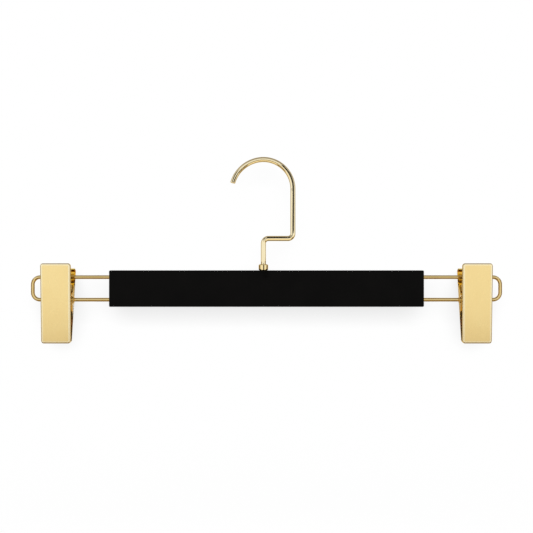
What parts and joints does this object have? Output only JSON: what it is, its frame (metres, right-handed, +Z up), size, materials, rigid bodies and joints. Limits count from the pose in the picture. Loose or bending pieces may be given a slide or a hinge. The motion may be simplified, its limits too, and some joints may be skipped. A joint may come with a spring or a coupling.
{
  "type": "clip hanger",
  "caption": "Trouser hanger with a swivelling wire hook, a lacquered bar and a sliding sprung metal clip on a wire loop at each end.",
  "frame": {"origin": "inside top of the hook, where the rail touches it, on the hook's own axis", "axes": "+X along the bar, +Y from the front face to the back, +Z up"},
  "size_m": [0.3798, 0.0196, 0.1499],
  "materials": {
    "polished_gold": "polished gold plating",
    "satin_gold": "satin gold plating",
    "spring_steel": "gold plated spring wire",
    "black_lacquer": "black satin lacquer",
    "dark_rubber": "matt ribbed grip"
  },
  "bodies": {
    "hook": {"hook": "polished_gold"},
    "bar": {"bar": "black_lacquer", "hook_collar": "polished_gold", "hook_washer": "polished_gold", "left_wire_loop": "polished_gold", "right_wire_loop": "polished_gold"},
    "left_clip": {"left_clip_pivot_tube": "polished_gold", "left_clip_spring": "spring_steel"},
    "left_clip_front": {"left_clip_front_jaw": "satin_gold", "left_clip_front_pad": "dark_rubber"},
    "left_clip_rear": {"left_clip_rear_jaw": "satin_gold", "left_clip_rear_pad": "dark_rubber"},
    "right_clip": {"right_clip_pivot_tube": "polished_gold", "right_clip_spring": "spring_steel"},
    "right_clip_front": {"right_clip_front_jaw": "satin_gold", "right_clip_front_pad": "dark_rubber"},
    "right_clip_rear": {"right_clip_rear_jaw": "satin_gold", "right_clip_rear_pad": "dark_rubber"}
  },
  "joints": [
    {"name": "bar_swivel", "type": "hinge", "parent": "hook", "child": "bar", "pos_m": [0, 0, -0.0873], "axis": [0, 0, 1], "continuous": true},
    {"name": "left_clip_slide", "type": "slide", "parent": "bar", "child": "left_clip", "axis": [1, 0, 0], "range_m": [-0.0025, 0.029]},
    {"name": "left_clip_squeeze", "type": "hinge", "parent": "left_clip", "child": "left_clip_front", "pos_m": [-0.1655, 0, -0.111], "axis": [-1, 0, 0], "range_deg": [0, 14], "stiffness_Nm_per_rad": 0.3, "springref_deg": -28.65, "deforming": ["left_clip_spring"]},
    {"name": "left_clip_rear_squeeze", "type": "hinge", "parent": "left_clip", "child": "left_clip_rear", "pos_m": [-0.1655, 0, -0.111], "axis": [1, 0, 0], "range_deg": [0, 14], "deforming": ["left_clip_spring"]},
    {"name": "right_clip_slide", "type": "slide", "parent": "bar", "child": "right_clip", "axis": [-1, 0, 0], "range_m": [-0.0025, 0.029]},
    {"name": "right_clip_squeeze", "type": "hinge", "parent": "right_clip", "child": "right_clip_front", "pos_m": [0.1705, 0, -0.111], "axis": [-1, 0, 0], "range_deg": [0, 14], "stiffness_Nm_per_rad": 0.3, "springref_deg": -28.65, "deforming": ["right_clip_spring"]},
    {"name": "right_clip_rear_squeeze", "type": "hinge", "parent": "right_clip", "child": "right_clip_rear", "pos_m": [0.1705, 0, -0.111], "axis": [1, 0, 0], "range_deg": [0, 14], "deforming": ["right_clip_spring"]}
  ],
  "couplings": [
    {"joint": "left_clip_rear_squeeze", "follows": "left_clip_squeeze", "ratio": 1},
    {"joint": "right_clip_rear_squeeze", "follows": "right_clip_squeeze", "ratio": 1}
  ]
}
